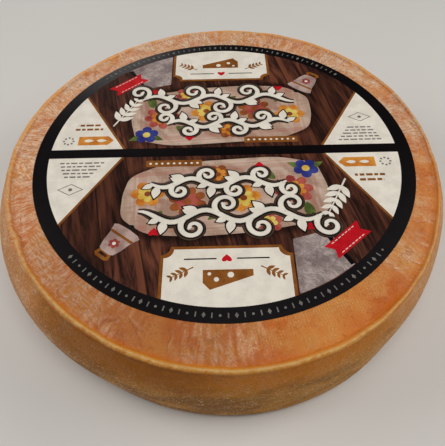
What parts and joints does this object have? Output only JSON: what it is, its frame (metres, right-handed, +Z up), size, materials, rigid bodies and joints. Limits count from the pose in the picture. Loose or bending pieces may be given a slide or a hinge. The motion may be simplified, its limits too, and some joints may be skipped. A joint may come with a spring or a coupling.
{
  "type": "raclette cheese wheel",
  "caption": "Whole wheel of washed-rind raclette cheese with swelling sides, a raised rim round the top face and a round printed paper label.",
  "frame": {"origin": "on the flat base, under the centre of the wheel's bounding box", "axes": "+Z up through the wheel, -Y towards the side that the picture shows nearest, +X to its right along the label's black centre bar"},
  "size_m": [0.317, 0.3172, 0.0659],
  "materials": {
    "rind": null,
    "label_paper": "satin printed paper"
  },
  "bodies": {
    "root": {"cheese_wheel": "rind", "paper_label": "label_paper"}
  },
  "joints": []
}
